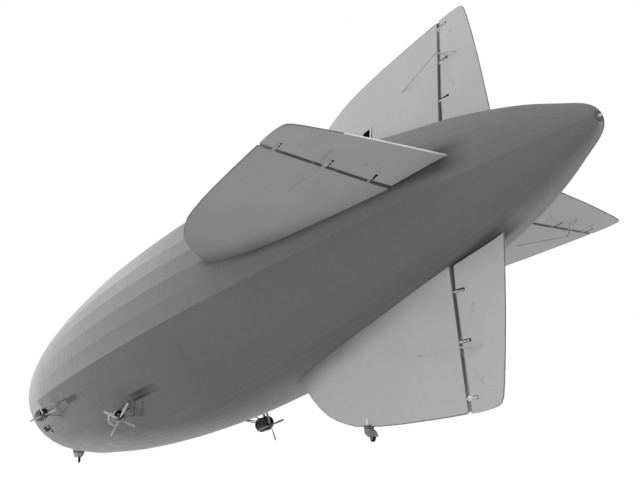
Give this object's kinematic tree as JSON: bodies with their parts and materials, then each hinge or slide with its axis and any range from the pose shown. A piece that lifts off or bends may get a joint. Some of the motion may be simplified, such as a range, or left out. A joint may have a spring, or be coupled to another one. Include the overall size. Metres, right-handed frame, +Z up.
{
  "type": "1:10 scale model of a rigid airship",
  "caption": "Long rigid airship with a faceted fabric envelope, four tail fins with hinged rudders and elevators, four engine cars with propellers, a control car and two landing wheels.",
  "frame": {"origin": "centre of lift, on the hull's axis, 13.25 m ahead of the tail tip", "axes": "+X towards the nose, +Y to port, +Z up"},
  "size_m": [24.5696, 4.6958, 4.463],
  "materials": {
    "doped_fabric": "aluminium-pigmented dope, satin",
    "painted_alloy": "silver paint, satin",
    "dark_steel": "dark, satin",
    "engine_iron": "oily",
    "varnished_blade": "painted pale, satin",
    "tyre_rubber": "matte",
    "window_glass": "clear, dark behind",
    "lamp_lens": "clear"
  },
  "bodies": {
    "hull": {"hull_envelope": "doped_fabric", "tail_cap": "doped_fabric", "nose_cap": "doped_fabric", "fin_dorsal": "doped_fabric", "hinge_post_dorsal": "painted_alloy", "fin_port": "doped_fabric", "hinge_post_port": "painted_alloy", "fin_ventral": "doped_fabric", "hinge_post_ventral": "painted_alloy", "fin_starboard": "doped_fabric", "hinge_post_starboard": "painted_alloy", "engine_car_aft_port": "painted_alloy", "engine_aft_port": "engine_iron", "car_struts_aft_port": "painted_alloy", "engine_car_aft_starboard": "painted_alloy", "engine_aft_starboard": "engine_iron", "car_struts_aft_starboard": "painted_alloy", "engine_car_forward_port": "painted_alloy", "engine_forward_port": "engine_iron", "car_struts_forward_port": "painted_alloy", "engine_car_forward_starboard": "painted_alloy", "engine_forward_starboard": "engine_iron", "car_struts_forward_starboard": "painted_alloy", "control_car": "painted_alloy", "control_car_glazing": "window_glass", "promenade_frame_port": "painted_alloy", "promenade_frame_starboard": "painted_alloy", "promenade_glazing_port": "window_glass", "promenade_glazing_starboard": "window_glass", "bow_wheel_leg": "dark_steel", "tail_wheel_leg": "painted_alloy", "tail_lamp_ring": "dark_steel", "tail_lamp": "lamp_lens", "mooring_spindle": "dark_steel"},
    "rudder_upper": {"rudder_upper": "doped_fabric"},
    "rudder_lower": {"rudder_lower": "doped_fabric"},
    "elevator_port": {"elevator_port": "doped_fabric"},
    "elevator_starboard": {"elevator_starboard": "doped_fabric"},
    "propeller_aft_port": {"propeller_aft_port": "varnished_blade"},
    "propeller_aft_starboard": {"propeller_aft_starboard": "varnished_blade"},
    "propeller_forward_port": {"propeller_forward_port": "varnished_blade"},
    "propeller_forward_starboard": {"propeller_forward_starboard": "varnished_blade"},
    "bow_fork": {"bow_wheel_fork": "dark_steel"},
    "bow_wheel": {"bow_wheel_tyre": "tyre_rubber", "bow_wheel_hub": "painted_alloy"},
    "tail_fork": {"tail_wheel_fork": "painted_alloy"},
    "tail_wheel": {"tail_wheel_tyre": "tyre_rubber", "tail_wheel_hub": "painted_alloy"}
  },
  "joints": [
    {"name": "rudder_upper_turn", "type": "hinge", "parent": "hull", "child": "rudder_upper", "pos_m": [-11.625, 0, 1.5], "axis": [0, 0, 1], "range_deg": [-20, 20]},
    {"name": "rudder_lower_turn", "type": "hinge", "parent": "hull", "child": "rudder_lower", "pos_m": [-11.615, 0, -1.5], "axis": [0, 0, 1], "range_deg": [-20, 20]},
    {"name": "elevator_port_tilt", "type": "hinge", "parent": "hull", "child": "elevator_port", "pos_m": [-11.6, 1.5, 0], "axis": [0, 1, 0], "range_deg": [-20, 20]},
    {"name": "elevator_starboard_tilt", "type": "hinge", "parent": "hull", "child": "elevator_starboard", "pos_m": [-11.6, -1.5, 0], "axis": [0, 1, 0], "range_deg": [-20, 20]},
    {"name": "propeller_aft_port_spin", "type": "hinge", "parent": "hull", "child": "propeller_aft_port", "pos_m": [-4.45, 1.437, -1.727], "axis": [1, 0, 0], "continuous": true},
    {"name": "propeller_aft_starboard_spin", "type": "hinge", "parent": "hull", "child": "propeller_aft_starboard", "pos_m": [-4.45, -1.437, -1.727], "axis": [1, 0, 0], "continuous": true},
    {"name": "propeller_forward_port_spin", "type": "hinge", "parent": "hull", "child": "propeller_forward_port", "pos_m": [0.35, 2.075, -1.327], "axis": [1, 0, 0], "continuous": true},
    {"name": "propeller_forward_starboard_spin", "type": "hinge", "parent": "hull", "child": "propeller_forward_starboard", "pos_m": [0.35, -2.075, -1.327], "axis": [1, 0, 0], "continuous": true},
    {"name": "bow_fork_swivel", "type": "hinge", "parent": "hull", "child": "bow_fork", "pos_m": [6.88, 0, -2.195], "axis": [0, 0, 1], "continuous": true},
    {"name": "bow_wheel_spin", "type": "hinge", "parent": "bow_fork", "child": "bow_wheel", "pos_m": [6.84, 0, -2.195], "axis": [0, 1, 0], "continuous": true},
    {"name": "tail_fork_swivel", "type": "hinge", "parent": "hull", "child": "tail_fork", "pos_m": [-9.915, 0, -2.26], "axis": [0, 0, 1], "continuous": true},
    {"name": "tail_wheel_spin", "type": "hinge", "parent": "tail_fork", "child": "tail_wheel", "pos_m": [-9.983, 0, -2.26], "axis": [0, 1, 0], "continuous": true}
  ],
  "couplings": [
    {"joint": "rudder_lower_turn", "follows": "rudder_upper_turn", "ratio": 1},
    {"joint": "elevator_starboard_tilt", "follows": "elevator_port_tilt", "ratio": 1}
  ]
}
